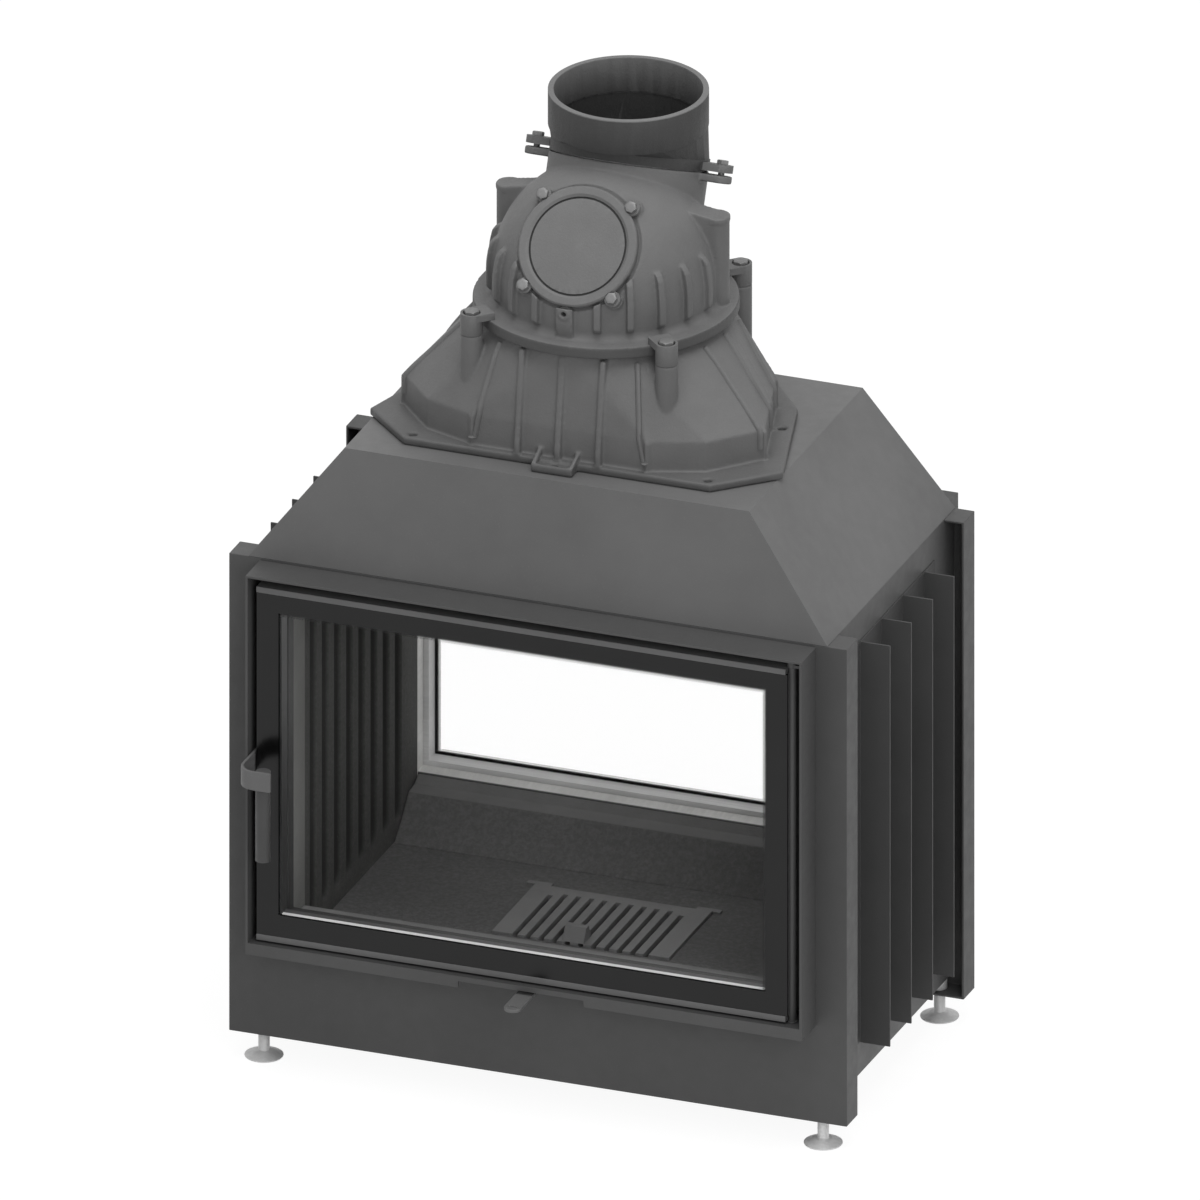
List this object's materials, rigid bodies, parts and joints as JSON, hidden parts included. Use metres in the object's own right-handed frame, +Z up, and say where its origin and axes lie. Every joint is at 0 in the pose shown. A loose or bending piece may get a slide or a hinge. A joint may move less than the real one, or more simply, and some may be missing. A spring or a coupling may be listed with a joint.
{
  "type": "fireplace insert",
  "caption": "See-through fireplace insert with a glazed door on both faces, finned sides, sheet hood and a turning cast dome with a flue collar.",
  "frame": {"origin": "on the floor under the middle of the casing", "axes": "+X right and +Y to the rear door, seen from the front door; +Z up along the flue"},
  "size_m": [0.841, 0.636, 1.2375],
  "materials": {
    "casing_paint": "matt heat-proof paint",
    "side_paint": "matt heat-proof paint",
    "fin_paint": "matt heat-proof paint",
    "surround_paint": "matt heat-proof paint",
    "hood_paint": "matt heat-proof paint",
    "cast_paint": "painted casting",
    "outlet_paint": "dark painted casting",
    "door_paint": "matt heat-proof paint",
    "rail_paint": "satin heat-proof paint",
    "grate_iron": "bare cast iron",
    "zinc": "zinc plated",
    "jamb_steel": "heat-tinted bare steel",
    "clear_glass": "ceramic glass with a printed black border",
    "rope": "glass-fibre rope",
    "chamotte": "dark refractory",
    "vermiculite": "pressed vermiculite"
  },
  "bodies": {
    "casing": {"front_panel": "casing_paint", "rear_panel": "casing_paint", "left_side_wall": "side_paint", "right_side_wall": "side_paint", "left_fins": "fin_paint", "right_fins": "fin_paint", "base_tray": "casing_paint", "air_inlet_collar": "zinc", "hearth_slab": "chamotte", "ash_well": "door_paint", "left_lining": "chamotte", "right_lining": "chamotte", "front_sill": "chamotte", "rear_sill": "chamotte", "front_jamb": "jamb_steel", "rear_jamb": "jamb_steel", "front_surround": "surround_paint", "rear_surround": "surround_paint", "front_catch_pin": "surround_paint", "rear_catch_pin": "surround_paint", "front_hinge_bracket": "door_paint", "rear_hinge_bracket": "door_paint", "baffle_plate": "vermiculite", "hood": "hood_paint", "transition_casting": "cast_paint", "casting_bolts": "zinc", "clamp_jaws": "cast_paint", "clamp_bolts": "zinc", "foot_nuts": "zinc"},
    "dome": {"dome_casting": "cast_paint", "inspection_gasket": "rope", "inspection_cover": "cast_paint", "cover_bolts": "zinc", "outlet_elbow": "outlet_paint", "outlet_bolts": "zinc"},
    "front_door": {"front_door_frame": "door_paint", "front_door_glass": "clear_glass", "front_door_rails": "rail_paint", "front_door_seal": "rope", "front_hinge_rod": "door_paint", "front_latch_pin": "door_paint"},
    "rear_door": {"rear_door_frame": "door_paint", "rear_door_glass": "clear_glass", "rear_door_rails": "rail_paint", "rear_door_seal": "rope", "rear_hinge_rod": "door_paint", "rear_latch_pin": "door_paint"},
    "front_handle": {"front_handle_lever": "surround_paint", "front_handle_grip": "surround_paint"},
    "rear_handle": {"rear_handle_lever": "surround_paint", "rear_handle_grip": "surround_paint"},
    "air_slide": {"air_lever": "surround_paint"},
    "grate": {"grate": "grate_iron"},
    "ash_pan": {"ash_pan": "rail_paint"},
    "foot_front_left": {"foot_front_left": "zinc"},
    "foot_front_right": {"foot_front_right": "zinc"},
    "foot_rear_left": {"foot_rear_left": "zinc"},
    "foot_rear_right": {"foot_rear_right": "zinc"}
  },
  "joints": [
    {"name": "dome_turn", "type": "hinge", "parent": "casing", "child": "dome", "pos_m": [0, 0.015, 0.979], "axis": [0, 0, 1], "range_deg": [-180, 180]},
    {"name": "front_door_hinge", "type": "hinge", "parent": "casing", "child": "front_door", "pos_m": [0.346, -0.252, 0.42], "axis": [0, 0, 1], "range_deg": [0, 100]},
    {"name": "rear_door_hinge", "type": "hinge", "parent": "casing", "child": "rear_door", "pos_m": [-0.346, 0.252, 0.42], "axis": [0, 0, 1], "range_deg": [0, 100]},
    {"name": "front_handle_lift", "type": "hinge", "parent": "front_door", "child": "front_handle", "pos_m": [-0.358, -0.246, 0.4235], "axis": [-1, 0, 0], "range_deg": [0, 40]},
    {"name": "rear_handle_lift", "type": "hinge", "parent": "rear_door", "child": "rear_handle", "pos_m": [0.358, 0.246, 0.4235], "axis": [1, 0, 0], "range_deg": [0, 40]},
    {"name": "air_lever_slide", "type": "slide", "parent": "casing", "child": "air_slide", "axis": [1, 0, 0], "range_m": [-0.07, 0.065]},
    {"name": "grate_lift", "type": "slide", "parent": "casing", "child": "grate", "axis": [0, 0, 1], "range_m": [0, 0.15]},
    {"name": "ash_pan_lift", "type": "slide", "parent": "casing", "child": "ash_pan", "axis": [0, 0, 1], "range_m": [0, 0.15]},
    {"name": "foot_front_left_screw", "type": "slide", "parent": "casing", "child": "foot_front_left", "axis": [0, 0, 1], "range_m": [-0.02, 0]},
    {"name": "foot_front_right_screw", "type": "slide", "parent": "casing", "child": "foot_front_right", "axis": [0, 0, 1], "range_m": [-0.02, 0]},
    {"name": "foot_rear_left_screw", "type": "slide", "parent": "casing", "child": "foot_rear_left", "axis": [0, 0, 1], "range_m": [-0.02, 0]},
    {"name": "foot_rear_right_screw", "type": "slide", "parent": "casing", "child": "foot_rear_right", "axis": [0, 0, 1], "range_m": [-0.02, 0]}
  ],
  "couplings": [
    {"joint": "ash_pan_lift", "follows": "grate_lift", "ratio": 1}
  ]
}
